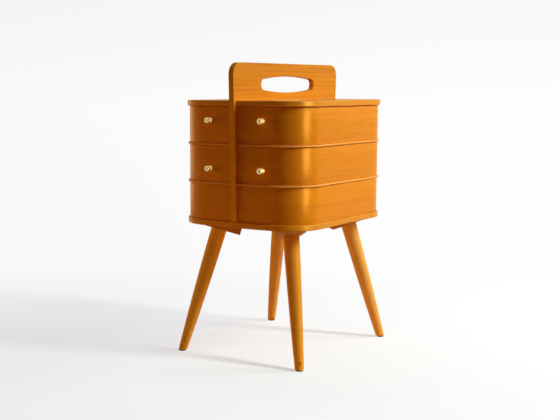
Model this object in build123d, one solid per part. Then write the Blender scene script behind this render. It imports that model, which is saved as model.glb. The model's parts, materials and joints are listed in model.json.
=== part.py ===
from build123d import *
from math import asin, atan2, cos, radians, sin, sqrt, tan
import os

# A sewing box on four splayed legs, in millimetres. The floor is z = 0 and the knobs face -Y.
# A tall board stands on the base plate, divides the box into a left and a right half, and ends above the
# lid in a handle. On each side of it two trays swing out sideways about a rod at the rear.
# The bottom tier and the two lid halves are fixed.

# Plan of the walls
body_width = 298.0
body_depth = 382.0
face_bow = 12.0
corner_radius = 71.0
wall = 5.0
inner_wall_thickness = 5.0

# Heights
leg_height = 274.6
base_thickness = 12.0
lower_wall_height = 72.4
tray_height = 77.0
lid_thickness = 11.5
handle_rise = 74.4

# Proud edges of the plates, and how far their edges are rounded
base_lip = 3.6
tray_lip = 3.3
lid_lip = 4.4
plate_round = 2.0
tray_bottom_thickness = 4.0
tray_bottom_round = 1.6

# Handle board
board_thickness = 12.0
board_foot_projection = 3.8
board_top_projection = 16.0
board_corner_radius = 24.0
board_round = 1.2
hand_hole_length = 210.0
hand_hole_height = 33.2
hand_hole_end_radius = 11.0
hand_hole_drop = 43.0

# Swinging trays
side_gap = 0.8
tier_gap = 0.8
rod_radius = 4.0
rod_cover = 4.0
block_cover = 10.0
rod_depth_in_base = 8.0
rod_depth_in_lid = 7.0
washer_radius = 9.0

# Dividers
divider_thickness = 3.2
divider_height = 48.0
divider_pitch = 118.0
groove_depth = 1.5

# Knobs
knob_offset = 62.0
top_knob_height = 50.0
middle_knob_height = 31.2
knob_length = 11.6
knob_base_radius = 5.7
knob_neck_radius = 2.8
knob_head_radius = 5.7
knob_flange = 2.2
knob_head_thickness = 3.2
knob_edge_round = 0.7
knob_dimple_radius = 2.6
knob_dimple_depth = 0.9
knob_screw_radius = 1.95
knob_screw_depth = 6.0
knob_screw_head_radius = 3.8
knob_screw_head_height = 2.4

# Legs, their blocks and glides
splay = 17.0
leg_inset_x = 64.0
leg_inset_y = 74.0
leg_top_radius = 16.5
leg_foot_radius = 8.9
leg_swell = 1.1
block_drop = 15.5
block_inner = 42.0
block_outer = 34.0
block_width = 46.0
glide_height = 2.5
glide_radius = 7.5
glide_round = 0.8
glide_pin_radius = 1.2
glide_pin_length = 10.0

# Fasteners
stud_radius = 4.0
stud_depth_in_leg = 26.0
stud_depth_in_block = 12.0
screw_radius = 2.0
screw_head_radius = 4.2
screw_head_height = 2.4
screw_slot_width = 1.0
screw_slot_depth = 0.8
screw_tip_cover = 4.0
inner_screw_offset = 30.0
outer_screw_offset = 25.0
board_screw_pitch = 120.0
board_screw_depth = 30.0
dowel_radius = 3.0
dowel_depth = 15.0
dowel_pitch = 80.0
dowel_count = 4
board_screw_count = 3

# Clearances
pin_clearance = 0.05
end_clearance = 0.5
groove_clearance = 0.1

# Levels, from the floor up
base_top = leg_height + base_thickness
middle_tray_z = base_top + lower_wall_height + tier_gap
top_tray_z = middle_tray_z + tray_height + tier_gap
lid_z = top_tray_z + tray_height + tier_gap
lid_top = lid_z + lid_thickness
total_height = lid_top + handle_rise
wall_height = tray_height - tray_bottom_thickness

# The rod stands where the tray's rear corner, rounded about it, just clears the board when it turns
pivot_inset = wall + rod_radius + rod_cover
swing_radius = pivot_inset + tray_lip
tray_inner_x = board_thickness / 2 + side_gap
pivot_x = tray_inner_x + swing_radius
pivot_y = body_depth / 2 - pivot_inset
block_reach = rod_radius + block_cover
hole_radius = rod_radius + pin_clearance

face_radius = ((body_width / 2) ** 2 + face_bow**2) / (2 * face_bow)
reach = body_width + body_depth


def outline(grow=0.0):
    """The walls' outer line in plan, bowed in front and behind, grown outwards."""
    half = body_width / 2
    crown = body_depth / 2
    front = ThreePointArc((-half, face_bow - crown), (0, -crown), (half, face_bow - crown))
    rear = ThreePointArc((half, crown - face_bow), (0, crown), (-half, crown - face_bow))
    right = Line(front @ 1, rear @ 0)
    left = Line(rear @ 1, front @ 0)
    face = make_face(Curve() + [front, right, rear, left])
    face = fillet(face.vertices(), corner_radius)
    return offset(face, grow) if grow else face


def right_of(x_from):
    """The plan area to the right of x_from."""
    return Pos(x_from + reach / 2, 0) * Rectangle(reach, reach)


def tray_zone():
    """The plan area that a right tray may fill, with its rear inner corner rounded about the rod."""
    corner = Pos(pivot_x - reach / 2, pivot_y + reach / 2) * Rectangle(reach, reach)
    corner -= Pos(pivot_x, pivot_y) * Circle(swing_radius)
    return right_of(tray_inner_x) - corner


def prism(plan, z_low, height):
    """A plan area raised to a solid that stands at z_low."""
    return Pos(0, 0, z_low) * extrude(plan, height)


def rounded_plate(grow, z_low, thickness, edge_round):
    """A whole plate with rounded upper and lower edges."""
    plate = prism(outline(grow), z_low, thickness)
    rims = plate.faces().sort_by(Axis.Z)[-1].edges() + plate.faces().sort_by(Axis.Z)[0].edges()
    return fillet(rims, edge_round)


def mirrored(shape):
    """The same piece on the left side."""
    return mirror(shape, about=Plane.YZ)


def rod_hole(z_low, height):
    return Pos(pivot_x, pivot_y, z_low + height / 2) * Cylinder(hole_radius, height)


def row(count, pitch):
    """Evenly spaced places, centred on zero."""
    return [(i - (count - 1) / 2) * pitch for i in range(count)]


# Walls, shared by the fixed tier and the trays


def bent_wall(zone):
    return (outline() - outline(-wall)) & zone


def corner_block_plan(zone):
    """The block that fills the rear inner corner and carries the rod."""
    span = pivot_x + block_reach
    square = Pos(span / 2, pivot_y - block_reach + reach / 2) * Rectangle(span, reach)
    return outline(-wall) & zone & square


def lower_tier():
    zone = right_of(board_thickness / 2)
    shell = prism(bent_wall(zone), base_top, lower_wall_height)
    block = prism(corner_block_plan(zone), base_top, lower_wall_height)
    return {"lower_shell": shell, "lower_pivot_block": block - rod_hole(base_top, lower_wall_height)}


# Knob on the bowed front face, and its screw


def knob_plane(z):
    """On the front face, with its Z axis pointing out of the face."""
    turn = asin(knob_offset / face_radius)
    y = face_radius - body_depth / 2 - face_radius * cos(turn)
    along = (cos(turn), sin(turn), 0)
    outwards = (sin(turn), -cos(turn), 0)
    return Plane(origin=(knob_offset, y, z), x_dir=along, z_dir=outwards)


def knob():
    """A turned spool: base flange, narrow waist, dished head."""
    head_back = knob_length - knob_head_thickness
    shoulder = (knob_neck_radius + knob_base_radius) / 2
    flange_top = (shoulder, knob_flange)
    head_under = (shoulder, head_back)
    waist = ThreePointArc(flange_top, (knob_neck_radius, (knob_flange + head_back) / 2), head_under)
    dish_rim = (knob_dimple_radius, knob_length)
    dish_low = (0, knob_length - knob_dimple_depth)
    rims = [(knob_base_radius, 0), (knob_base_radius, knob_flange), (knob_head_radius, head_back)]
    rims.append((knob_head_radius, knob_length))
    profile = Curve() + [
        Polyline((0, 0), rims[0], rims[1], flange_top),
        waist,
        Polyline(head_under, rims[2], rims[3], dish_rim),
        TangentArc(dish_low, dish_rim, tangent=(1, 0)),
        Line(dish_low, (0, 0)),
    ]
    face = make_face(profile)
    outer = [v for v in face.vertices() if v.X > knob_base_radius - 0.01]
    body = revolve(Plane.XZ * fillet(outer, knob_edge_round), Axis.Z)
    depth = knob_screw_depth + end_clearance
    return body - Pos(0, 0, depth / 2) * Cylinder(knob_screw_radius + pin_clearance, depth)


def knob_screw():
    """A pan-headed screw from inside the tray, through the wall, into the knob."""
    head_z = -wall - groove_clearance
    shank = knob_screw_depth - head_z
    head = Pos(0, 0, head_z - knob_screw_head_height / 2)
    head *= Cylinder(knob_screw_head_radius, knob_screw_head_height)
    head = fillet(head.edges().group_by(Axis.Z)[0], knob_screw_head_height / 3)
    slot_z = head_z - knob_screw_head_height + screw_slot_depth / 2
    slot = Pos(0, 0, slot_z) * Box(2 * knob_screw_head_radius, screw_slot_width, screw_slot_depth)
    return head - slot + Pos(0, 0, head_z + shank / 2) * Cylinder(knob_screw_radius, shank)


# Swinging tray, right side


def tray(z, knob_height, divider_places):
    zone = tray_zone()
    wall_z = z + tray_bottom_thickness
    half = body_width / 2
    knob_at = knob_plane(z + knob_height)
    bottom = rounded_plate(tray_lip, z, tray_bottom_thickness, tray_bottom_round)
    bottom = (bottom & prism(zone, z, tray_bottom_thickness)) - rod_hole(z, tray_bottom_thickness)
    shell = prism(bent_wall(zone), wall_z, wall_height)
    shell -= knob_at * Cylinder(knob_screw_radius + pin_clearance, 4 * wall)
    inner_end = pivot_y - block_reach
    inner_area = Pos(tray_inner_x + inner_wall_thickness / 2, inner_end - reach / 2)
    inner_area *= Rectangle(inner_wall_thickness, reach)
    inner = prism(outline(-wall) & inner_area, wall_z, wall_height)
    block = prism(corner_block_plan(zone), wall_z, wall_height) - rod_hole(wall_z, wall_height)
    pieces = {}
    for name, y in divider_places.items():
        low = tray_inner_x + inner_wall_thickness - groove_depth
        high = half - wall + groove_depth
        length = high - low - 2 * groove_clearance
        middle = (low + high) / 2
        groove = Pos(middle, y, wall_z + wall_height / 2)
        groove *= Box(high - low, divider_thickness + 2 * groove_clearance, wall_height)
        shell -= groove
        inner -= groove
        slat = Pos(middle, y, wall_z + divider_height / 2) * Box(length, divider_thickness, divider_height)
        pieces[name] = slat
    pieces.update(bottom=bottom, shell=shell, inner_wall=inner, pivot_block=block)
    pieces.update(knob=knob_at * knob(), knob_screw=knob_at * knob_screw())
    return pieces


# Lid half, right side


def lid_half():
    half = rounded_plate(lid_lip, lid_z, lid_thickness, plate_round)
    half &= prism(right_of(board_thickness / 2), lid_z, lid_thickness)
    half -= rod_hole(lid_z, rod_depth_in_lid + end_clearance)
    return half - dowels(pin_clearance, end_clearance)


def dowels(grow=0.0, longer=0.0):
    """The dowels that run through the board into both lid halves, or their holes."""
    length = board_thickness + 2 * (dowel_depth + longer)
    z = lid_z + lid_thickness / 2
    turned = Rot(0, 90, 0) * Cylinder(dowel_radius + grow, length)
    return [Pos(0, y, z) * turned for y in row(dowel_count, dowel_pitch)]


# Handle board


def hand_hole():
    """An oval of two long arcs and two small end arcs that meet without a corner."""
    half_length = hand_hole_length / 2
    half_height = hand_hole_height / 2
    end_x = half_length - hand_hole_end_radius
    end_rise = half_height - hand_hole_end_radius
    arc_drop = (end_x**2 - end_rise**2) / (2 * end_rise)
    arc_turn = atan2(end_x, arc_drop)
    meet_x = end_x + hand_hole_end_radius * sin(arc_turn)
    meet_y = hand_hole_end_radius * cos(arc_turn)
    upper = ThreePointArc((-meet_x, meet_y), (0, half_height), (meet_x, meet_y))
    right = ThreePointArc((meet_x, meet_y), (half_length, 0), (meet_x, -meet_y))
    lower = ThreePointArc((meet_x, -meet_y), (0, -half_height), (-meet_x, -meet_y))
    left = ThreePointArc((-meet_x, -meet_y), (-half_length, 0), (-meet_x, meet_y))
    return make_face(Curve() + [upper, right, lower, left])


def handle_board():
    foot = body_depth / 2 + board_foot_projection
    top = body_depth / 2 + board_top_projection
    corners = [(-foot, base_top), (foot, base_top), (top, total_height), (-top, total_height)]
    face = make_face(Polyline(*corners, close=True))
    face = fillet(face.vertices().group_by(Axis.Y)[-1], board_corner_radius)
    face -= Pos(0, total_height - hand_hole_drop) * hand_hole()
    board = extrude(Plane.YZ * face, board_thickness / 2, both=True)
    rims = board.faces().sort_by(Axis.X)[-1].edges() + board.faces().sort_by(Axis.X)[0].edges()
    rims = [e for e in rims if e.center().Z > base_top + board_round]
    board = fillet(rims, board_round)
    return board - dowels(pin_clearance) - board_screws(pin_clearance, end_clearance)


def countersunk(length, grow=0.0, longer=0.0):
    """A screw, or its hole, that points up, with its head's face at the origin."""
    head = Pos(0, 0, screw_head_height / 2)
    head *= Cone(screw_head_radius + grow, screw_radius + grow, screw_head_height)
    shank = Pos(0, 0, (length + longer) / 2) * Cylinder(screw_radius + grow, length + longer)
    screw = head + shank
    if grow == 0:
        slot = Box(2 * screw_head_radius, screw_slot_width, screw_slot_depth)
        screw -= Pos(0, 0, screw_slot_depth / 2) * slot
    return screw


def board_screws(grow=0.0, longer=0.0):
    """Screws up through the base plate into the handle board, or their holes."""
    screw = countersunk(base_thickness + board_screw_depth, grow, longer)
    return [Pos(0, y, leg_height) * screw for y in row(board_screw_count, board_screw_pitch)]


# Legs: the seat is where a leg's axis meets the underside of its block


def leg_plane(side_x, side_y):
    """Origin on the seat, Z up along the leg's axis, X outwards along the underside of the block."""
    lean = radians(splay)
    out_x = side_x / sqrt(2)
    out_y = side_y / sqrt(2)
    run = block_drop * tan(lean)
    seat_x = side_x * (body_width / 2 - leg_inset_x) + run * out_x
    seat_y = side_y * (body_depth / 2 - leg_inset_y) + run * out_y
    x_dir = (out_x * cos(lean), out_y * cos(lean), sin(lean))
    z_dir = (-out_x * sin(lean), -out_y * sin(lean), cos(lean))
    return Plane(origin=(seat_x, seat_y, leg_height - block_drop), x_dir=x_dir, z_dir=z_dir)


def level_slab(z_low, z_high):
    return Pos(0, 0, (z_low + z_high) / 2) * Box(reach, reach, z_high - z_low)


def studs(grow=0.0, longer=0.0):
    """The stud along a leg's axis, or its hole."""
    low = -stud_depth_in_leg - longer
    high = stud_depth_in_block + longer
    return Pos(0, 0, (low + high) / 2) * Cylinder(stud_radius + grow, high - low)


def leg_body():
    """The tapered, slightly swelling leg in its own frame, before its foot is cut level."""
    lean = radians(splay)
    length = (leg_height - block_drop) / cos(lean)
    spare = leg_top_radius * tan(lean)
    middle = ((leg_top_radius + leg_foot_radius) / 2 + leg_swell, -length / 2)
    side = ThreePointArc((leg_top_radius, 0), middle, (leg_foot_radius, -length))
    foot = (side @ 1) + (side % 1) * spare
    end = Polyline(side @ 1, foot, (0, foot.Y), (0, 0), (leg_top_radius, 0))
    body = revolve(Plane.XZ * make_face(Curve() + [side, end]), Axis.Z)
    return body - studs(pin_clearance, end_clearance)


def block_body():
    """The wedge block in the leg's frame, before its top is cut level under the plate."""
    length = block_inner + block_outer
    height = (block_drop + length) / cos(radians(splay))
    return Pos((block_outer - block_inner) / 2, 0, height / 2) * Box(length, block_width, height)


def block_screw_set(grow=0.0, longer=0.0):
    """The block's two screws in the leg's frame, one each side of the leg, or their holes."""
    lean = radians(splay)
    screws = []
    for x in (-inner_screw_offset, outer_screw_offset):
        rise = block_drop + base_thickness - screw_tip_cover - x * sin(lean)
        screws.append(Pos(x, 0, 0) * countersunk(rise / cos(lean), grow, longer))
    return screws


def glide(grow=0.0):
    """A nailed glide under a foot: a disc on the floor and its nail, or the nail's hole."""
    length = glide_pin_length + (end_clearance if grow else 0)
    pin = Pos(0, 0, glide_height + length / 2) * Cylinder(glide_pin_radius + grow, length)
    if grow:
        return pin
    disc = Pos(0, 0, glide_height / 2) * Cylinder(glide_radius, glide_height)
    disc = fillet(disc.edges().group_by(Axis.Z)[0], glide_round)
    return disc + pin


def foot_place(side_x, side_y):
    """Where a leg's axis meets the floor."""
    run = leg_height * tan(radians(splay)) / sqrt(2)
    x = body_width / 2 - leg_inset_x + run
    y = body_depth / 2 - leg_inset_y + run
    return Pos(side_x * x, side_y * y, 0)


corners = {"front_left": (-1, -1), "front_right": (1, -1), "rear_right": (1, 1), "rear_left": (-1, 1)}
nodes = {}

# Legs and what joins them to the base plate
leg_studs = []
block_screws = []
base_plate = rounded_plate(base_lip, leg_height, base_thickness, plate_round)
for corner, (side_x, side_y) in corners.items():
    frame = leg_plane(side_x, side_y)
    leg = (frame * leg_body()) & level_slab(glide_height, leg_height)
    block = (frame * block_body()) & level_slab(0, leg_height)
    block -= frame * studs(pin_clearance, end_clearance)
    for hole in block_screw_set(pin_clearance, end_clearance):
        block -= frame * hole
        base_plate -= frame * hole
    nodes["leg_" + corner] = leg - foot_place(side_x, side_y) * glide(pin_clearance)
    nodes["leg_block_" + corner] = block
    nodes["foot_glide_" + corner] = foot_place(side_x, side_y) * glide()
    leg_studs.append(frame * studs())
    block_screws += [frame * screw for screw in block_screw_set()]
nodes["leg_studs"] = Compound(leg_studs)
nodes["block_screws"] = Compound(block_screws)

# Base plate, handle board and what joins them
rod_socket = rod_hole(base_top - rod_depth_in_base, rod_depth_in_base)
base_plate -= board_screws(pin_clearance, end_clearance)
nodes["base_plate"] = base_plate - rod_socket - mirrored(rod_socket)
nodes["handle_board"] = handle_board()
nodes["board_screws"] = Compound(board_screws())
nodes["lid_dowels"] = Compound(dowels())

# Everything that comes in a right and a left hand
rod_length = lid_z + rod_depth_in_lid - (base_top - rod_depth_in_base)
rod_middle = base_top - rod_depth_in_base + rod_length / 2
pivot_rod = Pos(pivot_x, pivot_y, rod_middle) * Cylinder(rod_radius, rod_length)
handed = {"pivot_rod": pivot_rod, "lid": lid_half()}
handed.update(lower_tier())
middle_dividers = {"divider": 0.0}
top_dividers = {"front_divider": -divider_pitch / 2, "rear_divider": divider_pitch / 2}
for piece, shape in tray(middle_tray_z, middle_knob_height, middle_dividers).items():
    handed["middle_tray_" + piece] = shape
for piece, shape in tray(top_tray_z, top_knob_height, top_dividers).items():
    handed["top_tray_" + piece] = shape
for name, shape in handed.items():
    nodes[name + "_right"] = shape
    nodes[name + "_left"] = mirrored(shape)

# Washers on the rods, under each tray and under the lid
ring = Cylinder(washer_radius, tier_gap) - Cylinder(hole_radius, tier_gap)
washers = [Pos(pivot_x, pivot_y, z - tier_gap / 2) * ring for z in (middle_tray_z, top_tray_z, lid_z)]
nodes["pivot_washers"] = Compound(washers + [mirrored(w) for w in washers])

os.makedirs("parts", exist_ok=True)
for name, shape in nodes.items():
    export_step(shape, "parts/" + name + ".step")
print(len(nodes), "nodes, height", total_height, "pivot at", pivot_x, pivot_y)
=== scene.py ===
# %% [markdown]
# # A sewing box on four splayed legs
#
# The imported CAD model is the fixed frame: it says where every piece is. This script dresses it. Bent veneered
# walls, turned brass knobs, tapered legs and slotted screws are built here in finer meshes, and every other
# piece keeps its CAD shape and gets a material of its own.

# %% Load the frame
import json
from math import asin, cos, hypot, pi, radians, sin, sqrt, tan

import bmesh
import bpy
import numpy as np
from mathutils import Matrix, Vector

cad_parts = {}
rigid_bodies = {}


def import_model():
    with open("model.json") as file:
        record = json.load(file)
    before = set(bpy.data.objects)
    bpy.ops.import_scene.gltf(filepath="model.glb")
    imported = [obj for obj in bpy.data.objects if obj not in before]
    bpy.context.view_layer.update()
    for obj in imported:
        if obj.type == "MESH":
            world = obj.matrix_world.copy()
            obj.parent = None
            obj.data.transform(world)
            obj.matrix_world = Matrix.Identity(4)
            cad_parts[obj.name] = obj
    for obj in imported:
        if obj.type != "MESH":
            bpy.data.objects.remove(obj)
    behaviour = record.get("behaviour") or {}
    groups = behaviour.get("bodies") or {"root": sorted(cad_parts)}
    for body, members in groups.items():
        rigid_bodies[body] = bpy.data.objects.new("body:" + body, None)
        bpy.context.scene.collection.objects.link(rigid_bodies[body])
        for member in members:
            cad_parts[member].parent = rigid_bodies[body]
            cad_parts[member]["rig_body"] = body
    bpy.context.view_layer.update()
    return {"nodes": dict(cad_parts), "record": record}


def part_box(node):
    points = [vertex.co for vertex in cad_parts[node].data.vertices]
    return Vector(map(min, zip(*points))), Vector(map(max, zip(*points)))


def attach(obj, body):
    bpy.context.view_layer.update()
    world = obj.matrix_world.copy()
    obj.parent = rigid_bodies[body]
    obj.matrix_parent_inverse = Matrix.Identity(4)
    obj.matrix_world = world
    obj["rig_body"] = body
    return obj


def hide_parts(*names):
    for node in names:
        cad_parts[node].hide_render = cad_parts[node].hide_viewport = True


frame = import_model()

nodes = frame["nodes"]

# %% [markdown]
# ## Sizes
#
# Everything here is in metres. Where a size can be read from a CAD node's box, it is read. A box can't tell
# how far the front bows or how round the corners are, so a few sizes repeat the part's source.

# %% Sizes from the frame, and the few that it can't tell
shell_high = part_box("top_tray_shell_right")[1]
half_width = shell_high.x
crown = shell_high.y
tray_inner_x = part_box("top_tray_inner_wall_right")[0].x
face_bow = 0.012
corner_radius = 0.071
wall = 0.005
face_radius = (half_width**2 + face_bow**2) / (2 * face_bow)
bow_centre = face_radius - crown

rod_low, rod_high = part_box("pivot_rod_right")
pivot = (rod_low + rod_high) / 2
board_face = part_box("lower_shell_right")[0].x
swing_radius = pivot.x - tray_inner_x

swing_trays = ("middle_tray", "top_tray")
sides = ("right", "left")
print(f"walls {2 * half_width:.3f} by {2 * crown:.3f} m, rod at {pivot.x:.4f}, {pivot.y:.4f}")

# %% [markdown]
# ## Shader maths
#
# A node tree for a material soon has dozens of nodes. Instead of wiring each one by hand, a small class wraps
# an output socket, and Python's own operators on it add the Math nodes. Every other kind of node comes from
# one method, which sets the node up first and then fills or links its sockets.

# %% A socket that Python's operators work on
class Wire:
    """An output socket of a node tree."""

    def __init__(self, socket):
        self.socket = socket
        self.tree = socket.id_data

    def node(self, kind, settings=None, inputs=None, output=0):
        return add_node(self.tree, kind, settings, inputs, output)

    def math(self, operation, first, second=0.0):
        return self.node("ShaderNodeMath", {"operation": operation}, {0: first, 1: second})

    def __add__(self, other):
        return self.math("ADD", self, other)

    def __radd__(self, other):
        return self.math("ADD", other, self)

    def __sub__(self, other):
        return self.math("SUBTRACT", self, other)

    def __rsub__(self, other):
        return self.math("SUBTRACT", other, self)

    def __mul__(self, other):
        return self.math("MULTIPLY", self, other)

    def __rmul__(self, other):
        return self.math("MULTIPLY", other, self)

    def __truediv__(self, other):
        return self.math("DIVIDE", self, other)

    def __rtruediv__(self, other):
        return self.math("DIVIDE", other, self)

    def __abs__(self):
        return self.math("ABSOLUTE", self)

    def step(self, low, high):
        """0 below low, 1 above high, smooth in between."""
        return self.node(
            "ShaderNodeMapRange",
            {"interpolation_type": "SMOOTHSTEP"},
            {"Value": self, "From Min": low, "From Max": high},
        )

    def stretched(self, x, y, z):
        """A vector with each of its numbers multiplied."""
        return self.node("ShaderNodeVectorMath", {"operation": "MULTIPLY"}, {0: self, 1: (x, y, z)})

    def plus(self, other):
        """A vector with another one added."""
        return self.node("ShaderNodeVectorMath", {"operation": "ADD"}, {0: self, 1: other})

    def distance_to(self, spot):
        """How far a place is from a fixed spot."""
        return self.node("ShaderNodeVectorMath", {"operation": "DISTANCE"}, {0: self, 1: spot}, "Value")

    def parts(self):
        """The X, Y and Z of a vector."""
        return [self.node("ShaderNodeSeparateXYZ", None, {0: self}, i) for i in range(3)]


def add_node(tree, kind, settings=None, inputs=None, output=0):
    """Adds a node, sets it up, fills or links its sockets, and returns one output."""
    node = tree.nodes.new(kind)
    for name, value in (settings or {}).items():
        setattr(node, name, value)
    for name, value in (inputs or {}).items():
        if isinstance(value, Wire):
            tree.links.new(value.socket, node.inputs[name])
        else:
            node.inputs[name].default_value = value
    return Wire(node.outputs[output])


# %% Vectors, colours and noise
def joined(x, y, z):
    """A vector from three numbers or wires, at least one of them a wire."""
    wire = next(v for v in (x, y, z) if isinstance(v, Wire))
    return wire.node("ShaderNodeCombineXYZ", None, {0: x, 1: y, 2: z})


def blended(share, first, second):
    """A colour: first where share is 0 and second where it is 1."""
    return share.node("ShaderNodeMix", {"data_type": "RGBA"}, {0: share, 6: full(first), 7: full(second)}, 2)


def blended_vectors(share, first, second):
    """The same for two vectors. A Mix node has its own sockets for each kind of value."""
    return share.node("ShaderNodeMix", {"data_type": "VECTOR"}, {0: share, 4: first, 5: second}, 1)


def full(colour):
    """A colour with its alpha, or a wire as it is."""
    return colour if isinstance(colour, Wire) else (*colour, 1.0)


def noise(where, detail=2.0, roughness=0.5):
    """A smooth random pattern whose size is set by how far its coordinates are stretched."""
    return where.node(
        "ShaderNodeTexNoise",
        None,
        {"Vector": where, "Scale": 1.0, "Detail": detail, "Roughness": roughness},
    )


# %% A material with its shader
class Finish:
    """A material, with its principled shader ready to be set."""

    def __init__(self, name):
        self.material = bpy.data.materials.new(name)
        self.material.use_nodes = True
        self.tree = self.material.node_tree
        self.shader = self.tree.nodes["Principled BSDF"]

    def node(self, kind, settings=None, inputs=None, output=0):
        return add_node(self.tree, kind, settings, inputs, output)

    def set(self, **values):
        """Sets or links the shader's sockets. An underscore in a name stands for a space."""
        for name, value in values.items():
            socket = self.shader.inputs[name.replace("_", " ")]
            if isinstance(value, Wire):
                self.tree.links.new(value.socket, socket)
            else:
                socket.default_value = (*value, 1.0) if isinstance(value, tuple) else value

    def place(self):
        """Object coordinates: metres in the shared frame."""
        return self.node("ShaderNodeTexCoord", output="Object")

    def facing(self):
        """The surface's own direction."""
        return self.node("ShaderNodeTexCoord", output="Normal")

    def faces_along(self, axis):
        """1 where the surface faces along an axis, either way, and 0 where it faces across it."""
        return abs(self.facing().parts()[axis]).step(0.55, 0.8)

    def stored(self, name):
        """A vector that the mesh stores at each of its points."""
        return self.node("ShaderNodeAttribute", {"attribute_name": name}, output="Vector")

    def bump(self, height, depth, strength=0.5):
        """Makes height, from 0 to 1, stand out by depth in metres."""
        sizes = {"Height": height, "Distance": depth, "Strength": strength}
        self.set(Normal=self.node("ShaderNodeBump", None, sizes))


print("shader helpers ready")

# %% [markdown]
# ## Wood
#
# Straight-grained veneer has three scales of detail: broad bands of colour tens of millimetres wide, streaks
# of a few millimetres, and pores like fine dark dashes. A picture of wood could be wrapped round each piece,
# but it would need a seam and would repeat. All three scales run a long way along the grain and change
# quickly across it, so each is plain noise on coordinates that are stretched hard across the grain. One
# recipe makes every wood here. What differs is its tones and where its grain coordinates come from.

# %% The recipe for wood
drift_scale = (4, 9, 9)
band_scale = (1.6, 40, 40)
streak_scale = (4, 230, 230)
fibre_scale = (60, 1500, 1500)
pore_scale = (90, 2300, 2300)
pore_share = 0.16
drift_reach = 0.0025
grain_depth = 0.00006
lacquer_tint = (1.0, 0.78, 0.38)


def wood(name, light, deep, where, band=0.2, streak=0.28, gloss=0.34, sheen=0.17, wear=None):
    """A lacquered wood. where turns a finish into coordinates in metres, with X along the grain."""
    finish = Finish(name)
    grain = where(finish)
    drift = noise(grain.stretched(*drift_scale), 1.0)
    x, y, z = grain.parts()
    bent = joined(x, y + (drift - 0.5) * drift_reach, z + (drift - 0.5) * drift_reach)
    broad = noise(bent.stretched(*band_scale), 2.0, 0.6)
    lines = noise(bent.stretched(*streak_scale), 4.0, 0.66)
    fibres = noise(bent.stretched(*fibre_scale), 2.0)
    dashes = noise(grain.stretched(*pore_scale), 1.0).step(0.60, 0.72)
    tone = (broad - 0.5) * (1.8 * band) + (lines - 0.5) * (2.4 * streak) + (fibres - 0.5) * 0.35 + 0.5
    colour = blended(tone.step(0.0, 1.0), deep, light)
    dark = tuple(0.45 * c for c in deep)
    colour = blended(dashes * pore_share, colour, dark)
    if wear:
        colour = wear(finish, colour)
    finish.set(Base_Color=colour, Roughness=gloss + (lines - 0.5) * 0.16 + dashes * 0.08)
    finish.set(Specular_IOR_Level=sheen, Specular_Tint=lacquer_tint)
    finish.bump(lines * 0.5 + fibres * 0.3 - dashes * 0.6, grain_depth, 0.35)
    return finish.material


print(f"a streak about every {1000 / streak_scale[1]:.1f} mm, a band every {1000 / band_scale[1]:.0f} mm")


# %% Where the grain runs on each kind of piece
diagonal_share = 0.7071


def stored_grain(finish):
    """Pieces built here store their own grain coordinates."""
    return finish.stored("grain")


def grain_along_y(finish):
    """Grain from front to rear."""
    x, y, z = finish.place().parts()
    return joined(y, x, z)


def plate_grain(finish):
    """Grain from front to rear on a plate's faces, and round it on its edge."""
    x, y, z = finish.place().parts()
    edge = joined(x + y, z, x - y).stretched(1, 1, 0.02)
    return blended_vectors(finish.faces_along(2), edge, joined(y, x, z))


def board_grain(finish):
    """Grain from front to rear on the board's broad faces, and upwards on its narrow edges."""
    x, y, z = finish.place().parts()
    return blended_vectors(finish.faces_along(1), joined(y, z, x), joined(z, x, y))


def block_grain(finish):
    """Grain along a diagonal of the plan, as the leg blocks lie."""
    x, y, z = finish.place().parts()
    return joined((x + y) * diagonal_share, (x - y) * diagonal_share, z)


print("grain directions ready")

# %% [markdown]
# ## The finishes
#
# The lacquered veneer is a clear honey orange. The plates' lipping is a little lighter, and the legs are solid
# wood. The left and rear legs get lighter copies of the leg wood: painted light, for the extra light that they
# catch. What the lacquer hardly reached, inside and below, is paler. Wear could be painted on by hand, but a
# rule says where it belongs: specks near the foot, pale wood on the board's narrow edges, which is partly
# painted light, and bare wood under a block. So each is a function of place or direction that the recipe calls.

# %% Wear, and painted light on the board's narrow edges
speck_scale = (160, 160, 90)
speck_brown = (0.10, 0.035, 0.008)
# The board's narrow edges: partly their own paler wood, partly painted light.
pale_and_lit_edge = (1.0, 0.41, 0.012)
bare_wood = (0.62, 0.36, 0.17)


def foot_wear(finish, colour):
    """Small dark specks, stronger near the foot."""
    height = finish.place().parts()[2]
    low = 1 - height.step(0.01, 0.12)
    spots = noise(finish.place().stretched(*speck_scale), 2.0).step(0.64, 0.72)
    return blended(spots * (low * 0.55 + 0.1), colour, speck_brown)


def pale_and_lit_ends(finish, colour):
    """The board's narrow front and rear edges are paler than its faces: partly paler wood, partly painted
    light.
    """
    return blended(finish.faces_along(1) * 0.6, colour, pale_and_lit_edge)


def raw_below(finish, colour):
    """The underside of a block is bare, paler wood."""
    down = (0 - finish.facing().parts()[2]).step(0.5, 0.8)
    return blended(down * 0.75, colour, bare_wood)


# The board edges' paler colour is partly painted light.
print("wear for feet, board edges and blocks")

# %% Woods
honey = ((0.93, 0.325, 0.006), (0.64, 0.165, 0.001))
lipping_tones = ((0.86, 0.33, 0.016), (0.68, 0.22, 0.006))
board_tones = ((0.79, 0.290, 0.004), (0.52, 0.140, 0.001))
ring_tones = ((0.98, 0.47, 0.10), (0.86, 0.36, 0.05))
leg_tones = ((0.92, 0.39, 0.04), (0.70, 0.265, 0.016))
# Painted light: the left and rear legs are lighter copies of the leg wood, for the extra light that those legs
# catch.
left_leg_painted_lit_tones = ((1.0, 0.56, 0.09), (0.92, 0.44, 0.05))
rear_leg_painted_lit_tones = ((0.98, 0.52, 0.13), (0.82, 0.39, 0.075))
block_tones = ((0.66, 0.30, 0.07), (0.46, 0.17, 0.03))
pale_tones = ((0.76, 0.50, 0.25), (0.60, 0.36, 0.15))


def leg_finish(name, tones, sheen=0.04):
    return wood(name, *tones, stored_grain, sheen=sheen, wear=foot_wear)


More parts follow.
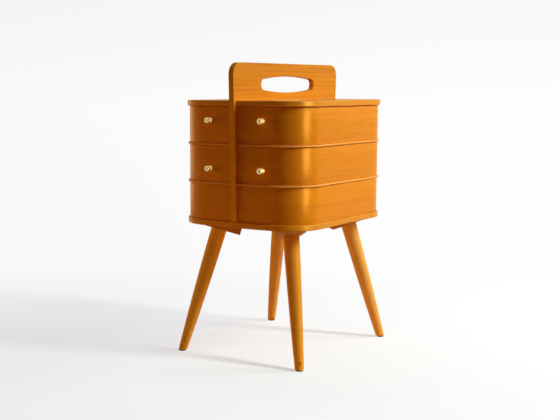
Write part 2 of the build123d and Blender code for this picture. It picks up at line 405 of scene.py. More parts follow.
veneer = wood("shell_veneer", *honey, stored_grain, streak=0.16, gloss=0.28)
lipping = wood("plate_wood", *lipping_tones, plate_grain, gloss=0.3, sheen=0.26)
board_wood = wood("board_wood", *board_tones, board_grain, band=0.35, streak=0.55, wear=pale_and_lit_ends)
ring_wood = wood("edge_wood", *ring_tones, plate_grain)
leg_wood = leg_finish("leg_wood", leg_tones)
left_leg_wood = leg_finish("left_leg_wood", left_leg_painted_lit_tones)
rear_leg_wood = leg_finish("rear_leg_wood", rear_leg_painted_lit_tones, sheen=0.06)
block_wood = wood("block_wood", *block_tones, block_grain, gloss=0.6, wear=raw_below)
pale_wood = wood("pale_inner_wood", *pale_tones, stored_grain, streak=0.4, gloss=0.6)
pale_solid = wood("pale_block_wood", *pale_tones, grain_along_y, streak=0.4, gloss=0.6)
print("10 woods, from", veneer.name, "to", pale_solid.name)

# %% Metals and the glides
stain_scale = (140, 140, 140)
scratch_scale = (2600, 500, 2600)
scratch_depth = 0.00002
scuff_scale = (500, 500, 900)
scuff_depth = 0.00008
glide_dark = (0.022, 0.016, 0.012)
glide_scuffed = (0.09, 0.07, 0.055)


def metal(name, colour, gloss, smear, scratch, metallic=1.0, hollow_patina_and_shade=None):
    """A metal with faint stains and fine scratches. Its hollows, which its mesh stores, take a darker colour:
    patina and painted shade.
    """
    finish = Finish(name)
    place = finish.place()
    stains = noise(place.stretched(*stain_scale), 3.0)
    scratches = noise(place.stretched(*scratch_scale), 2.0).step(0.58, 0.7)
    darker = tuple(0.72 * c for c in colour)
    shade = blended(stains.step(0.35, 0.75) * smear, colour, darker)
    if hollow_patina_and_shade:
        # Patina and painted shade darken the hollows that the mesh stores.
        shade = blended(finish.stored("hollow").parts()[0], shade, hollow_patina_and_shade)
    finish.set(Base_Color=shade, Metallic=metallic)
    finish.set(Roughness=gloss + stains * 0.12 + scratches * scratch)
    finish.bump(scratches, scratch_depth, 0.3)
    return finish.material


def glide_finish():
    """Dark nailed glides, scuffed where they slide."""
    finish = Finish("foot_glide")
    scuffs = noise(finish.place().stretched(*scuff_scale), 3.0)
    finish.set(Base_Color=blended(scuffs.step(0.45, 0.8), glide_dark, glide_scuffed))
    finish.set(Roughness=0.42 + scuffs * 0.3)
    finish.bump(scuffs, scuff_depth)
    return finish.material


polished = (1.0, 0.90, 0.68)
# The colour of the knobs' hollows: patina and painted shade.
patina_and_shade_colour = (0.36, 0.30, 0.13)
brass = metal("polished_brass", polished, 0.34, 0.15, 0.1, metallic=0.85, hollow_patina_and_shade=patina_and_shade_colour)
washer_brass = metal("brass_washer", (0.80, 0.60, 0.28), 0.3, 0.5, 0.15)
screw_steel = metal("screw_steel", (0.60, 0.58, 0.54), 0.32, 0.4, 0.2)
rod_steel = metal("rod_steel", (0.68, 0.68, 0.68), 0.22, 0.25, 0.15)
glide_black = glide_finish()

cad_finishes = {
    "plate_wood": lipping,
    "board_wood": board_wood,
    "edge_wood": ring_wood,
    "block_wood": block_wood,
    "pale_inner_wood": pale_solid,
    "brass_washer": washer_brass,
    "screw_steel": screw_steel,
    "rod_steel": rod_steel,
    "foot_glide": glide_black,
    "shell_veneer": veneer,
    "leg_wood": leg_wood,
    "polished_brass": brass,
}
for row in frame["record"]["subparts"]:
    nodes[row["node"]].material_slots[0].material = cad_finishes[row["material_slot"]]
print(len(cad_finishes), "finishes on", len(nodes), "CAD nodes")

# %% [markdown]
# ## A new piece
#
# Every piece built here goes through one function: it shades the mesh smooth but keeps real edges sharp,
# hides the CAD node that the piece stands for, and lets it ride on that node's body.

# %% Hand a mesh over to the frame
sharp_angle = radians(32)


def body_of(node):
    """The name of the body that a CAD node rides on."""
    return nodes[node]["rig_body"]


def slot_of(node):
    """The material slot that the record gives a CAD node."""
    rows = frame["record"]["subparts"]
    return next(r["material_slot"] for r in rows if r["node"] == node)


def piece(name, mesh, material, stands_for):
    """A finished object from a mesh in the shared frame, in place of one or more CAD nodes of one body."""
    mesh.materials.clear()
    mesh.materials.append(material)
    mesh.shade_smooth()
    mesh.set_sharp_from_angle(angle=sharp_angle)
    made = bpy.data.objects.new(name, mesh)
    bpy.context.scene.collection.objects.link(made)
    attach(made, body_of(stands_for[0]))
    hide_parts(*stands_for)
    slot_of(stands_for[0])


def store_vectors(mesh, name, values):
    """Stores one vector at each point of a mesh."""
    attribute = mesh.attributes.new(name, "FLOAT_VECTOR", "POINT")
    attribute.data.foreach_set("vector", np.asarray(values, np.float32).ravel())


print("pieces are handed over by body")

# %% [markdown]
# ## Bent walls
#
# Each wall is one strip of veneered ply, bent round two corners. It could be modelled by pushing vertices
# about, but its shape follows a rule: a flat section swept along the plan's outline. So Geometry Nodes sweep
# it. The sweep also knows how far along the strip each point lies, and that distance is stored as the grain
# coordinate, so the veneer's figure wraps round the corners as it does on the real wall.

# %% The plan of a wall, as points along its middle line
bow_steps, corner_steps, side_steps = 24, 32, 16


def arc(centre, radius, start, end, steps):
    """Points on an arc, angles in radians."""
    turns = [start + (end - start) * i / steps for i in range(steps + 1)]
    return [(centre[0] + radius * cos(t), centre[1] + radius * sin(t)) for t in turns]


def wall_line(x_start, inset):
    """The plan's right half, from front middle to rear middle, inset from the outer face."""
    bow_radius = face_radius - inset
    round_radius = corner_radius - inset
    corner_x = half_width - corner_radius
    corner_y = bow_centre - sqrt((face_radius - corner_radius) ** 2 - corner_x**2)
    bow_end = asin(corner_x / (face_radius - corner_radius))
    front = arc((0, bow_centre), bow_radius, asin(x_start / bow_radius) - pi / 2, bow_end - pi / 2, bow_steps)
    near = arc((corner_x, corner_y), round_radius, bow_end - pi / 2, 0, corner_steps)
    line = front + near[1:]
    side = [(half_width - inset, corner_y * (1 - 2 * i / side_steps)) for i in range(1, side_steps)]
    rear = [(x, -y) for x, y in reversed(line)]
    return line + side + rear


print(len(wall_line(board_face, wall / 2)), "points along a wall")


# %% Helpers for trees of Geometry Nodes
def group_input(tree, name, kind, default=None):
    """Adds a named input to a node group and returns its identifier."""
    socket = tree.interface.new_socket(name, in_out="INPUT", socket_type=kind)
    if default is not None:
        socket.default_value = default
    return socket.identifier


def named_input(tree, start, name):
    """The wire that brings a named input into the tree."""
    return Wire(next(s for s in start.outputs if s.name == name))


def with_stored(geometry, kind, name, value):
    """A geometry that stores a value at each of its points under a name."""
    return geometry.node(
        "GeometryNodeStoreNamedAttribute",
        {"data_type": kind, "domain": "POINT"},
        {"Geometry": geometry, "Name": name, "Value": value},
    )


def stored_value(tree, kind, name):
    """What the points store under a name."""
    return add_node(tree, "GeometryNodeInputNamedAttribute", {"data_type": kind}, {"Name": name})


def finished_group(tree, geometry, material):
    """Ends a tree as the export needs it: real meshes, with their material."""
    real = add_node(tree, "GeometryNodeRealizeInstances", None, {0: geometry})
    coated = add_node(tree, "GeometryNodeSetMaterial", None, {"Geometry": real, "Material": material})
    tree.interface.new_socket("Geometry", in_out="OUTPUT", socket_type="NodeSocketGeometry")
    end = tree.nodes.new("NodeGroupOutput")
    tree.links.new(coated.socket, end.inputs[0])


def plain_mesh(base, group, keys, values):
    """Runs a node group on an object once and returns the result as a plain mesh."""
    modifier = base.modifiers.new("shape", "NODES")
    modifier.node_group = group
    for name, value in values.items():
        modifier[keys[name]] = value
    depsgraph = bpy.context.evaluated_depsgraph_get()
    depsgraph.update()
    mesh = bpy.data.meshes.new_from_object(base.evaluated_get(depsgraph), depsgraph=depsgraph)
    base.modifiers.remove(modifier)
    bpy.data.objects.remove(base)
    return mesh


print("node tree helpers ready")


# %% The sweep
def sweep_group():
    """A flat section with eased edges, swept along a line of edges. Stores grain coordinates."""
    tree = bpy.data.node_groups.new("swept wall", "GeometryNodeTree")
    keys = {"Geometry": group_input(tree, "Geometry", "NodeSocketGeometry")}
    sizes = {"Thickness": 0.005, "Height": 0.07, "Edge Round": 0.0008, "Grain Shift": 0.0}
    for name, default in sizes.items():
        keys[name] = group_input(tree, name, "NodeSocketFloat", default)
    keys["Material"] = group_input(tree, "Material", "NodeSocketMaterial")
    start = tree.nodes.new("NodeGroupInput")
    thickness, height, ease, shift = (named_input(tree, start, name) for name in sizes)

    line = add_node(tree, "GeometryNodeMeshToCurve", None, {0: named_input(tree, start, "Geometry")})
    line = line.node("GeometryNodeSetCurveNormal", {"mode": "Z_UP"}, {"Curve": line})
    run = line.node("GeometryNodeSplineParameter", output="Length")
    line = with_stored(line, "FLOAT", "run", run)

    section = add_node(
        tree,
        "GeometryNodeCurvePrimitiveQuadrilateral",
        {"mode": "RECTANGLE"},
        {"Width": thickness, "Height": height},
    )
    eased = {"Curve": section, "Count": 3, "Radius": ease}
    section = section.node("GeometryNodeFilletCurve", {"mode": "POLY"}, eased)
    spot = section.node("GeometryNodeInputPosition")
    section = with_stored(section, "FLOAT_VECTOR", "spot", spot)

    swept = {"Curve": line, "Profile Curve": section, "Fill Caps": True}
    strip = line.node("GeometryNodeCurveToMesh", None, swept)
    along = stored_value(tree, "FLOAT", "run")
    x, y, z = stored_value(tree, "FLOAT_VECTOR", "spot").parts()
    strip = with_stored(strip, "FLOAT_VECTOR", "grain", joined(along + shift, y + shift, x))
    finished_group(tree, strip, named_input(tree, start, "Material"))
    return tree, keys


sweep, sweep_keys = sweep_group()
print(len(sweep.nodes), "nodes in the sweep")


# %% Six bent walls
edge_round = 0.0007
shortest_step = 0.002
figure_shift = 0.37


def edge_line(points, z):
    """An object that is only a line of edges."""
    mesh = bpy.data.meshes.new("line")
    corners = [(x, y, z) for x, y in points]
    mesh.from_pydata(corners, [(i, i + 1) for i in range(len(corners) - 1)], [])
    base = bpy.data.objects.new("line", mesh)
    bpy.context.scene.collection.objects.link(base)
    return base


def outwards(mesh):
    """Turns every face of a closed mesh outwards."""
    work = bmesh.new()
    work.from_mesh(mesh)
    bmesh.ops.recalc_face_normals(work, faces=work.faces)
    work.to_mesh(mesh)
    work.free()


def bent_wall(node, side, x_start, x_rear, shift):
    """Sweeps one wall. A tray's wall ends at the rear on the circle that it swings in."""
    low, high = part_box(node)
    rear_y = sqrt((face_radius - wall / 2) ** 2 - x_rear**2) - bow_centre
    line = wall_line(x_start, wall / 2)
    points = [(x, y) for x, y in line if y < 0 or x > x_rear + shortest_step]
    base = edge_line(points + [(x_rear, rear_y)], (low.z + high.z) / 2)
    values = {"Thickness": wall, "Height": high.z - low.z, "Edge Round": edge_round, "Grain Shift": shift}
    mesh = plain_mesh(base, sweep, sweep_keys, {**values, "Material": veneer})
    if side == "left":
        mesh.transform(Matrix.Scale(-1, 4, Vector((1, 0, 0))))
    outwards(mesh)
    piece(node.replace("shell", "bent_wall"), mesh, veneer, [node])


rear_reach = sqrt(swing_radius**2 - (crown - pivot.y) ** 2)
walls = [(tier, side) for tier in ("lower", *swing_trays) for side in sides]
for number, (tier, side) in enumerate(walls):
    x_start = board_face if tier == "lower" else tray_inner_x
    x_rear = board_face if tier == "lower" else pivot.x - rear_reach
    bent_wall(f"{tier}_shell_{side}", side, x_start, x_rear, figure_shift * number)
print(len(walls), "bent walls")

# %% [markdown]
# ## Dividers and inner walls
#
# These are thin flat slats. A scaled cube alone would look cut from card, and a Bevel modifier on it would
# have to be applied before the export. So the edges are eased in the mesh itself, and the grain coordinates
# run along the slat's length.

# %% Slats
divider_ease = 0.0011
inner_wall_ease = 0.0006


def slat(node, ease):
    """A slat in the place of a CAD node's box, with its edges eased."""
    low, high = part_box(node)
    size = high - low
    work = bmesh.new()
    bmesh.ops.create_cube(work, size=1.0)
    for v in work.verts:
        v.co = Vector(((low[i] + high[i]) / 2 + v.co[i] * size[i] for i in range(3)))
    bmesh.ops.bevel(work, geom=work.edges[:], offset=ease, segments=3, profile=0.5, affect="EDGES")
    mesh = bpy.data.meshes.new(node)
    work.to_mesh(mesh)
    work.free()
    along = 0 if size.x > size.y else 1
    across = 1 - along
    grain = [(v.co[along], v.co.z + low[along], v.co[across]) for v in mesh.vertices]
    store_vectors(mesh, "grain", grain)
    piece(node + "_slat", mesh, pale_wood, [node])


slats = [n for n in nodes if "divider" in n or "inner_wall" in n]
for node in sorted(slats):
    slat(node, divider_ease if "divider" in node else inner_wall_ease)
print(len(slats), "slats")

# %% [markdown]
# ## Legs
#
# A leg is turned to a slow taper with a slight swell, set at a slant along the diagonal, and cut level at the
# floor. A cone would be quicker, but it has no swell and its foot would be cut square. Here each line down
# the side runs from the square-cut top to the level foot, so the mesh is built from those lines, and the last
# rings are drawn in a little to ease the foot's edge.

# %% Sizes of a leg, from the part's source and from the frame
splay = radians(17)
leg_inset_x = 0.064
leg_inset_y = 0.074
leg_top_radius = 0.0165
leg_foot_radius = 0.0089
leg_swell = 0.0011
block_drop = 0.0155
plate_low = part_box("base_plate")[0].z
glide_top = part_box("leg_front_right")[0].z
leg_length = (plate_low - block_drop) / cos(splay)
print(f"a leg is {leg_length:.3f} m long")


# %% Four legs
foot_ease = 0.0012
leg_sides = 64
leg_rings = 30
foot_rings = 6
length_rounds = 4
leg_figure_shift = 0.21


def leg_frame(side_x, side_y):
    """Where the leg's axis meets its block: a turn with Z up the axis and X outwards, and a place."""
    out = Vector((side_x, side_y, 0)).normalized()
    seat_x = side_x * (half_width - leg_inset_x)
    seat_y = side_y * (crown - leg_inset_y)
    seat = Vector((seat_x, seat_y, plate_low - block_drop))
    seat += out * (block_drop * tan(splay))
    up = -out * sin(splay) + Vector((0, 0, cos(splay)))
    along = out * cos(splay) + Vector((0, 0, sin(splay)))
    side = up.cross(along)
    return Matrix((along, side, up)).transposed().to_4x4(), seat


def leg_radius(share):
    """The leg's radius, from 0 at its top to 1 at its foot: a taper with a slight swell."""
    straight = leg_top_radius * (1 - share) + leg_foot_radius * share
    return straight + 4 * leg_swell * share * (1 - share)


def ring_faces(rings, steps):
    """The quads between neighbouring rings of points."""
    faces = []
    for ring in range(rings - 1):
        low, high = ring * steps, (ring + 1) * steps
        for i in range(steps):
            j = (i + 1) % steps
            faces.append((low + i, low + j, high + j, high + i))
    return faces


def leg(corner, side_x, side_y, shift):
    """One leg. How long each line is depends on the radius at its end, so it is found in rounds."""
    turn, seat = leg_frame(side_x, side_y)
    axis = turn @ Vector((0, 0, -1))
    rings = [(i / leg_rings, 0.0) for i in range(leg_rings)]
    for i in range(foot_rings):
        angle = i / (foot_rings - 1) * pi / 2
        rings.append((1 - foot_ease / leg_length * (1 - sin(angle)), foot_ease * (1 - cos(angle))))
    points, grain = [], []
    for share, drawn_in in rings:
        for i in range(leg_sides):
            angle = 2 * pi * i / leg_sides
            spoke = turn @ Vector((cos(angle), sin(angle), 0))
            reach = leg_length
            for _ in range(length_rounds):
                reach = (seat.z + spoke.z * leg_radius(reach / leg_length) - glide_top) / -axis.z
            around = leg_radius(reach * share / leg_length)
            points.append(seat + axis * (reach * share) + spoke * (around - drawn_in))
            grain.append((reach * share + shift, around * cos(angle) + shift, around * sin(angle)))
    faces = ring_faces(len(rings), leg_sides)
    faces.append(tuple(range(leg_sides)))
    faces.append(tuple(reversed(range(len(points) - leg_sides, len(points)))))
    mesh = bpy.data.meshes.new("leg")
    mesh.from_pydata(points, [], faces)
    store_vectors(mesh, "grain", grain)
    outwards(mesh)
    piece("turned_leg_" + corner, mesh, leg_woods[corner], ["leg_" + corner])


# The left and rear legs take the lighter copies: painted light.
leg_woods = {
    "front_left": left_leg_wood,
    "front_right": leg_wood,
    "rear_right": rear_leg_wood,
    "rear_left": rear_leg_wood,
}
corners = {"front_left": (-1, -1), "front_right": (1, -1), "rear_right": (1, 1), "rear_left": (-1, 1)}
for number, (corner, (side_x, side_y)) in enumerate(corners.items()):
    leg(corner, side_x, side_y, leg_figure_shift * number)
print(len(corners), "legs, tops", leg_top_radius, "feet", leg_foot_radius)

# %% [markdown]
# ## Knobs
#
# The knobs are small brass spools: a base that rises as a cone to a waist, and a head with a dimple turned
# into it. A turned shape is a profile spun about an axis. The Screw modifier would spin it too, but here the
# script lays out the rings itself, so it can also store where the brass is painted darker: in the dimple and
# at the waist, partly patina that no cloth reaches and partly painted shade for the shadow that falls there.
# The profile's corners are rounded first, because on polished metal a rounded edge is what catches the light.

# %% The profile of a knob, with sizes from the part's source
knob_length = 0.0116
knob_base_radius = 0.0057
knob_neck_radius = 0.0028
knob_head_radius = 0.0057
knob_flange = 0.0022
knob_head_thickness = 0.0032
knob_dimple_radius = 0.0026
knob_dimple_depth = 0.0009
knob_offset = 0.062

# How this finer mesh is rounded
knob_edge = 0.0006
waist_rise = 0.0008


def rounded(points, radii, steps=6):
    """A flat line with each of its inner corners rounded by its own radius."""
    line = [points[0]]
    for before, at, after, radius in zip(points, points[1:], points[2:], radii):
        a, b, c = Vector(before), Vector(at), Vector(after)
        to_a, to_c = (a - b).normalized(), (c - b).normalized()
        half = to_a.angle(to_c) / 2
        cut = radius / tan(half)
        start, end = b + to_a * cut, b + to_c * cut
        centre = b + (to_a + to_c).normalized() * (radius / sin(half))
        for i in range(steps + 1):
            spoke = (start - centre).lerp(end - centre, i / steps).normalized() * radius
            line.append(tuple(centre + spoke))
    line.append(points[-1])
    return line


def knob_profile():
    """Radius and height along the knob's side, from its foot to the middle of its dimple."""
    rim = knob_flange * 0.45
    head_low = knob_length - knob_head_thickness
    dimple_low = knob_length - knob_dimple_depth
    turned = [
        (knob_base_radius, rim, rim),
        (knob_neck_radius, knob_flange + waist_rise, 0.0007),
        (knob_neck_radius, head_low - waist_rise, 0.0009),
        (knob_head_radius, head_low, knob_edge),
        (knob_head_radius, knob_length, knob_edge * 1.5),
        (knob_dimple_radius, knob_length, 0.0004),
        (knob_dimple_radius * 0.72, dimple_low, 0.0012),
    ]
    points = [(radius, height) for radius, height, ease in turned]
    points = [(knob_base_radius, 0.0), *points, (0.0, dimple_low)]
    return [(0.0, 0.0)] + rounded(points, [ease for radius, height, ease in turned])


print(len(knob_profile()), "points in a knob's profile")


# %% Four knobs
# How strongly the dimple and the waist are painted darker: patina and painted shade.
dimple_patina_and_shade = 0.8
waist_patina_and_shade = 0.6


def spun(name, profile, steps=64):
    """A closed mesh from a profile of radius and height that starts and ends on the axis."""
    rim = [p for p in profile if p[0] > 0]
    spokes = [(cos(2 * pi * i / steps), sin(2 * pi * i / steps)) for i in range(steps)]
    points = [(r * x, r * y, z) for r, z in rim for x, y in spokes]
    faces = ring_faces(len(rim), steps)
    last = (len(rim) - 1) * steps
    points += [(0, 0, profile[0][1]), (0, 0, profile[-1][1])]
    for i in range(steps):
        j = (i + 1) % steps
        faces.append((len(points) - 2, j, i))
        faces.append((len(points) - 1, last + i, last + j))
    mesh = bpy.data.meshes.new(name)
    mesh.from_pydata(points, [], faces)
    outwards(mesh)
    return mesh


def knob_patina_and_shade(spot):
    """How dark the brass is painted at a point of the upright knob: patina and painted shade in the dimple and
    at the waist.
    """
    radius = hypot(spot.x, spot.y)
    if spot.z > knob_length - knob_head_thickness / 2 and radius < knob_dimple_radius * 0.8:
        return dimple_patina_and_shade
    if spot.z > knob_flange and radius < knob_neck_radius * 1.1:
        return waist_patina_and_shade
    return 0.0


def knob_place(node, side):
    """On the bowed front face, Z pointing out of it."""
    low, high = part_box(node)
    turn = asin(knob_offset / face_radius)
    y = bow_centre - face_radius * cos(turn)
    sign = 1 if side == "right" else -1
    out = Vector((sign * sin(turn), -cos(turn), 0))
    up = Vector((0, 0, 1))
    seat = Vector((sign * knob_offset, y, (low.z + high.z) / 2))
    return Matrix.Translation(seat) @ Matrix((up.cross(out), up, out)).transposed().to_4x4()


knobs = [(tray, side) for tray in swing_trays for side in sides]
for tray, side in knobs:
    node = f"{tray}_knob_{side}"
    mesh = spun(node, knob_profile())
    store_vectors(mesh, "hollow", [(knob_patina_and_shade(v.co), 0, 0) for v in mesh.vertices])
    mesh.transform(knob_place(node, side))
    piece(f"{tray}_spool_{side}", mesh, brass, [node])
print(len(knobs), "knobs")

# %% [markdown]
# ## Screws
#
# Slotted screws hold the knobs from inside and the leg blocks and the board from below. They repeat, so
# Geometry Nodes make them: one tree builds a screw from its sizes and puts it on every point of a small
# mesh, turned to that point's own direction, with its slot at a random angle, as a driver leaves it.

# %% The screw
head_top_share = 0.86
head_crown_share = 0.22
shank_overlap = 0.0002
screw_sizes = (
    "Head Radius", "Under Radius", "Head Height", "Shank Radius",
    "Shank Length", "Slot Width", "Slot Depth",
)


def cone_slice(tree, first, last, depth):
    """A slice of a cone that stands on the origin, from its first radius up to its last."""
    sizes = {"Vertices": 48, "Radius Bottom": first, "Radius Top": last, "Depth": depth}
    return add_node(tree, "GeometryNodeMeshCone", {"fill_type": "TRIANGLE_FAN"}, sizes)


def raised(shape, height):
    return shape.node("GeometryNodeTransform", None, {0: shape, "Translation": joined(0.0, 0.0, height)})


def screw_shape(tree, head_radius, under, head_height, shank_radius, shank_length, slot_width, slot_depth):
    """One slotted screw. Its head's face is at the origin and its shank runs up from there."""
    crown_height = head_height * head_crown_share
    top = cone_slice(tree, head_radius * head_top_share, head_radius, crown_height)
    head = raised(cone_slice(tree, head_radius, under, head_height - crown_height), crown_height)
    round_bar = {"Vertices": 32, "Radius": shank_radius, "Depth": shank_length}
    shank = add_node(tree, "GeometryNodeMeshCylinder", {"fill_type": "TRIANGLE_FAN"}, round_bar)
    shank = raised(shank, head_height + shank_length * 0.5 - shank_overlap)
    solid = tree.nodes.new("GeometryNodeMeshBoolean")
    solid.operation = "UNION"
    solid.solver = "EXACT"
    for part in (top, head, shank):
        tree.links.new(part.socket, solid.inputs[1])
    slot_size = joined(head_radius * 2.2, slot_width, slot_depth * 2)
    slot = add_node(tree, "GeometryNodeMeshCube", None, {"Size": slot_size})
    cut = {"operation": "DIFFERENCE", "solver": "EXACT"}
    return add_node(tree, "GeometryNodeMeshBoolean", cut, {0: Wire(solid.outputs[0]), 1: slot})


# %% A screw on every point
def screw_group():
    """A slotted screw on each point, with its shank along the direction that the point stores."""
    tree = bpy.data.node_groups.new("slotted screws", "GeometryNodeTree")
    keys = {"Geometry": group_input(tree, "Geometry", "NodeSocketGeometry")}
    for name in screw_sizes:
        keys[name] = group_input(tree, name, "NodeSocketFloat", 0.002)
    keys["Seed"] = group_input(tree, "Seed", "NodeSocketInt", 3)
    keys["Material"] = group_input(tree, "Material", "NodeSocketMaterial")
    start = tree.nodes.new("NodeGroupInput")
    screw = screw_shape(tree, *(named_input(tree, start, name) for name in screw_sizes))

    aim = stored_value(tree, "FLOAT_VECTOR", "aim")
    aimed = aim.node("FunctionNodeAlignRotationToVector", {"axis": "Z"}, {"Vector": aim})
    half_turns = {2: 0.0, 3: pi, "Seed": named_input(tree, start, "Seed")}
    turn = add_node(tree, "FunctionNodeRandomValue", {"data_type": "FLOAT"}, half_turns, output=1)
    spin = turn.node("FunctionNodeAxisAngleToRotation", None, {"Axis": (0, 0, 1), "Angle": turn})
    both = {"Rotation": aimed, "Rotate By": spin}
    rotation = aimed.node("FunctionNodeRotateRotation", {"rotation_space": "LOCAL"}, both)
    points = add_node(tree, "GeometryNodeMeshToPoints", None, {0: named_input(tree, start, "Geometry")})
    placed = {"Points": points, "Instance": screw, "Rotation": rotation}
    screws = points.node("GeometryNodeInstanceOnPoints", None, placed)
    finished_group(tree, screws, named_input(tree, start, "Material"))
    return tree, keys


def screw_set(name, places, sizes, stands_for):
    """Screws at places, each a point and a direction, as one piece."""
    mesh = bpy.data.meshes.new(name)
    mesh.from_pydata([point for point, aim in places], [], [])
    store_vectors(mesh, "aim", [aim for point, aim in places])
    base = bpy.data.objects.new(name, mesh)
    bpy.context.scene.collection.objects.link(base)
    made = plain_mesh(base, screws, screw_keys, {**sizes, "Seed": len(name), "Material": screw_steel})
    piece(name, made, screw_steel, stands_for)


screws, screw_keys = screw_group()
print(len(screws.nodes), "nodes in the screw's tree")

# %% Every screw in its place
slot_cut = {"Slot Width": 0.001, "Slot Depth": 0.0009}
countersunk = {"Head Radius": 0.0041, "Under Radius": 0.0019, "Head Height": 0.0024, "Shank Radius": 0.0019}
pan_head = {"Head Radius": 0.0037, "Under Radius": 0.0037, "Head Height": 0.0024, "Shank Radius": 0.0018}
block_screw = {**countersunk, **slot_cut, "Shank Length": 0.012}
board_screw = {**countersunk, **slot_cut, "Shank Length": 0.030}
knob_screw = {**pan_head, **slot_cut, "Shank Length": 0.0105}
block_screw_runs = (-0.030, 0.025)
board_head_radius = 0.0042
knob_head_stand = 0.0025

block_places = []
for side_x, side_y in corners.values():
    turn, seat = leg_frame(side_x, side_y)
    up = turn @ Vector((0, 0, 1))
    block_places += [(seat + turn @ Vector((run, 0, 0)), up) for run in block_screw_runs]
screw_set("block_screw_set", block_places, block_screw, ["block_screws"])

board_low, board_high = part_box("board_screws")
rows = (board_low.y + board_head_radius, 0.0, board_high.y - board_head_radius)
board_places = [(Vector((0, y, board_low.z)), Vector((0, 0, 1))) for y in rows]
screw_set("board_screw_set", board_places, board_screw, ["board_screws"])

for tray, side in knobs:
    node = f"{tray}_knob_screw_{side}"
    place = knob_place(node, side)
    behind = place @ Vector((0, 0, -wall - knob_head_stand))
    out = place.to_3x3() @ Vector((0, 0, 1))
    screw_set(node + "_slotted", [(behind, out)], knob_screw, [node])
print(len(block_places) + len(board_places) + len(knobs), "slotted screws")

# %% [markdown]
# ## Floor and background
#
# The box stands on white paper that runs out of sight. White paper lit by strong lamps would do it, but then
# the box would be lit by a white room too. So what the camera sees of the floor is mostly a glow of its own,
# with enough plain paper mixed in to take the shadow: most of it close to the feet, where the shadow is deep,
# and less farther off, where it fades. Far away the floor passes into the plain background.
#
# For all other rays the floor is warm paper, because the box's own colour bounces off it, and it darkens with
# distance. What polished things reflect, from the floor far out and from all round, is a warm room that is
# brighter at the right.

# %% What each kind of ray finds
to_right = (0.82, 0.57)
paper_left = (0.943, 0.943, 0.943)
paper_right = (0.988, 0.988, 0.988)
room_left = (0.90, 0.73, 0.42)
room_right = (0.92, 0.87, 0.60)


def light_path(tree, kind):
    return add_node(tree, "ShaderNodeLightPath", output=kind)


def seen(tree):
    """1 for rays that show the background: straight to the camera or through glass."""
    straight = light_path(tree, "Is Camera Ray")
    return straight.math("MAXIMUM", straight, light_path(tree, "Is Transmission Ray"))


def mirror_rays(tree):
    """1 for rays that a glossy surface reflects."""
    return light_path(tree, "Is Glossy Ray")


def pale(side):
    """The background's paleness, a little less at the left than at the right."""
    return blended(side.step(-0.4, 0.3), paper_left, paper_right)


def room(side):
    """What polished things reflect: a room that is brighter at the right, towards the window."""
    return blended(side.step(-0.2, 0.8), room_left, room_right)


def emission(tree, colour):
    return add_node(tree, "ShaderNodeEmission", None, {"Color": colour})


def diffuse(tree, colour):
    return add_node(tree, "ShaderNodeBsdfDiffuse", None, {"Color": colour})


def mixed(tree, share, first, second):
    """One shader where share is 0 and another where it is 1."""
    return add_node(tree, "ShaderNodeMixShader", None, {0: share, 1: first, 2: second})


print("floor and background shaders ready")

# %% Floor
floor_radius = 40.0
shadow_spot = (0.12, -0.06, 0)
near_share, share_drop = 0.70, 0.34
near_glow = (0.39, 0.44, 0.455)
far_glow = (0.662, 0.677, 0.700)
near_bounce = (0.97, 0.60, 0.30)
far_bounce = (0.15, 0.09, 0.05)


def paper(tree, place, across, behind):
    """The paper as the camera sees it: a glow, and a share of diffuse white that takes the shadow."""
    away = place.distance_to(shadow_spot).step(0.11, 0.44)
    share = near_share - away * share_drop
    # Painted light: the glow rises a little towards the right and farther behind the box.
    painted_light_slope = across.step(-0.8, 0.8) * 0.01 + behind.step(-0.5, 0.6) * 0.05
    glow = blended(away, near_glow, far_glow).plus(joined(painted_light_slope, painted_light_slope, painted_light_slope))
    shaded = diffuse(tree, joined(share, share * 0.98, share))
    return add_node(tree, "ShaderNodeAddShader", None, {0: shaded, 1: emission(tree, glow)})


def floor_material():
    material = bpy.data.materials.new("white_floor")
    material.use_nodes = True
    tree = material.node_tree
    tree.nodes.clear()
    place = add_node(tree, "ShaderNodeTexCoord", output="Object")
    distance = place.distance_to((0, 0, 0))
    x, y, z = place.parts()
    across = x * to_right[0] + y * to_right[1]
    behind = y * to_right[0] - x * to_right[1]
    beyond = behind.step(0.4, 1.0)
    far = beyond.math("MAXIMUM", beyond, distance.step(1.3, 2.4))
    background = emission(tree, pale(across / distance))
    shown = mixed(tree, far, paper(tree, place, across, behind), background)
    bounce = diffuse(tree, blended(distance.step(0.3, 1.3), near_bounce, far_bounce))
    far_mirror = mirror_rays(tree) * distance.step(0.5, 1.3)
    bounce = mixed(tree, far_mirror, bounce, emission(tree, room(across / distance)))
    end = tree.nodes.new("ShaderNodeOutputMaterial")
    tree.links.new(mixed(tree, seen(tree), bounce, shown).socket, end.inputs["Surface"])
    return material


work = bmesh.new()
bmesh.ops.create_circle(work, cap_ends=True, segments=128, radius=floor_radius)
floor_mesh = bpy.data.meshes.new("floor")
work.to_mesh(floor_mesh)
work.free()
floor_mesh.materials.append(floor_material())
floor = bpy.data.objects.new("floor", floor_mesh)
bpy.context.scene.collection.objects.link(floor)
print("floor radius", floor_radius, "m")

# %% World
dusk = (0.068, 0.031, 0.010, 1)
world = bpy.data.worlds.new("studio")
bpy.context.scene.world = world
world.use_nodes = True
sky_tree = world.node_tree
sky_tree.nodes.clear()


def sky(colour, strength=1.0):
    return add_node(sky_tree, "ShaderNodeBackground", None, {"Color": colour, "Strength": strength})


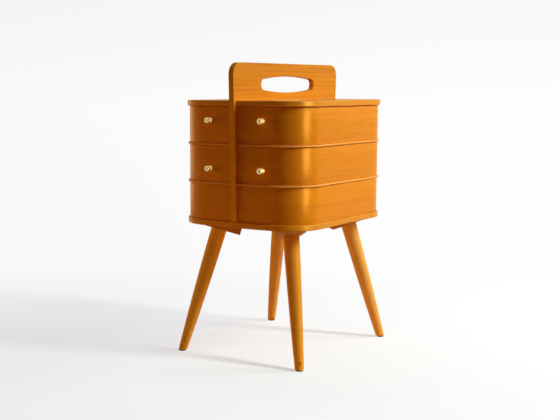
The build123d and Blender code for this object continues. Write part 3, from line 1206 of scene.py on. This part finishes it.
ray_x, ray_y, ray_z = add_node(sky_tree, "ShaderNodeTexCoord").parts()
side = ray_x * to_right[0] + ray_y * to_right[1]
dimmer = 1 - ray_z.step(-0.04, 0.1) * 0.05
lighting = mixed(sky_tree, mirror_rays(sky_tree), sky(dusk), sky(room(side)))
whole_sky = mixed(sky_tree, seen(sky_tree), lighting, sky(pale(side), dimmer))
world_end = sky_tree.nodes.new("ShaderNodeOutputWorld")
sky_tree.links.new(whole_sky.socket, world_end.inputs["Surface"])
print(len(sky_tree.nodes), "nodes in the world")

# %% [markdown]
# ## Light
#
# The shadows of the legs and of the body say where the light stands: at the right, a little behind the front
# face and 35 degrees up. One window would leave the front and the left black, so weaker lamps fill them: one
# from the right rear, a warm one from the left and a very weak warm one from the front.
#
# Two more lamps only show in gloss. A low window makes the bright band on the near corner, and one behind the
# box the thin glow on its left edge. Ordinary lamps there would turn the wood pale.

# %% Lamps
body_middle = Vector((0, 0, 0.38))


def area_light(name, azimuth, elevation, distance, width, height, level, colour):
    """An area light aimed at the middle of the body. Level 1 shows a white surface that faces it as white."""
    a, e = radians(azimuth), radians(elevation)
    towards = Vector((cos(a) * cos(e), sin(a) * cos(e), sin(e)))
    data = bpy.data.lights.new(name, "AREA")
    data.shape = "RECTANGLE"
    data.size, data.size_y = width, height
    data.energy = level * (pi * distance) ** 2
    data.color = colour
    lamp = bpy.data.objects.new(name, data)
    lamp.location = body_middle + towards * distance
    lamp.rotation_euler = (-towards).to_track_quat("-Z", "Y").to_euler()
    lamp.visible_camera = False
    bpy.context.scene.collection.objects.link(lamp)
    return lamp


area_light("window", 12, 35, 3.2, 0.4, 1.3, 0.67, (0.96, 1.06, 1.02))
area_light("rear_fill", 42, 24, 3.0, 1.3, 1.0, 0.42, (0.96, 1.04, 0.95))
left_fill = area_light("left_fill", -156, 1, 2.5, 1.0, 0.9, 0.26, (1, 0.64, 0.22))
left_fill.visible_glossy = False
rear_window = area_light("rear_window", 172, 1, 2.5, 1.1, 0.9, 0.085, (1, 0.66, 0.30))
rear_window.visible_diffuse = False
area_light("front_fill", -24, 6, 2.6, 1.2, 1.0, 0.03, (1, 0.40, 0.08))
low_window = area_light("low_window", -2, 2, 2.5, 0.9, 1.2, 2.25, (1, 0.66, 0.20))
low_window.visible_diffuse = False

# %% [markdown]
# ## Camera
#
# A camera can be placed by eye. This one was fitted to the photograph's own points, which is surer: its
# place, its tilt and its focal length, and a small shift because the picture is a cut from a larger frame.

# %% Camera
picture_width, picture_height = 560, 420
sensor_width = 36.0
focal_px = 1046.15
centre_px = (226.22, 241.27)
tilt = radians(8.402)
heading = radians(34.818)
camera_distance = 2.22893
camera_side = -0.12638
camera_height = 0.55373

ahead = Vector((-sin(heading), cos(heading), 0))
aside = Vector((cos(heading), sin(heading), 0))
view_axis = ahead * cos(tilt) - Vector((0, 0, sin(tilt)))
view_up = ahead * sin(tilt) + Vector((0, 0, cos(tilt)))
camera_data = bpy.data.cameras.new("camera")
camera_data.sensor_fit = "HORIZONTAL"
camera_data.sensor_width = sensor_width
camera_data.lens = focal_px / picture_width * sensor_width
camera_data.shift_x = (picture_width / 2 - centre_px[0]) / picture_width
camera_data.shift_y = (centre_px[1] - picture_height / 2) / picture_width
camera = bpy.data.objects.new("camera", camera_data)
turned = Matrix((aside, view_up, -view_axis)).transposed().to_4x4()
stand = -camera_distance * ahead + camera_side * aside + Vector((0, 0, camera_height))
camera.matrix_world = Matrix.Translation(stand) @ turned
bpy.context.scene.collection.objects.link(camera)
bpy.context.scene.camera = camera
bpy.context.scene.view_settings.view_transform = "Standard"
print("camera lens", round(camera_data.lens, 2), "mm")
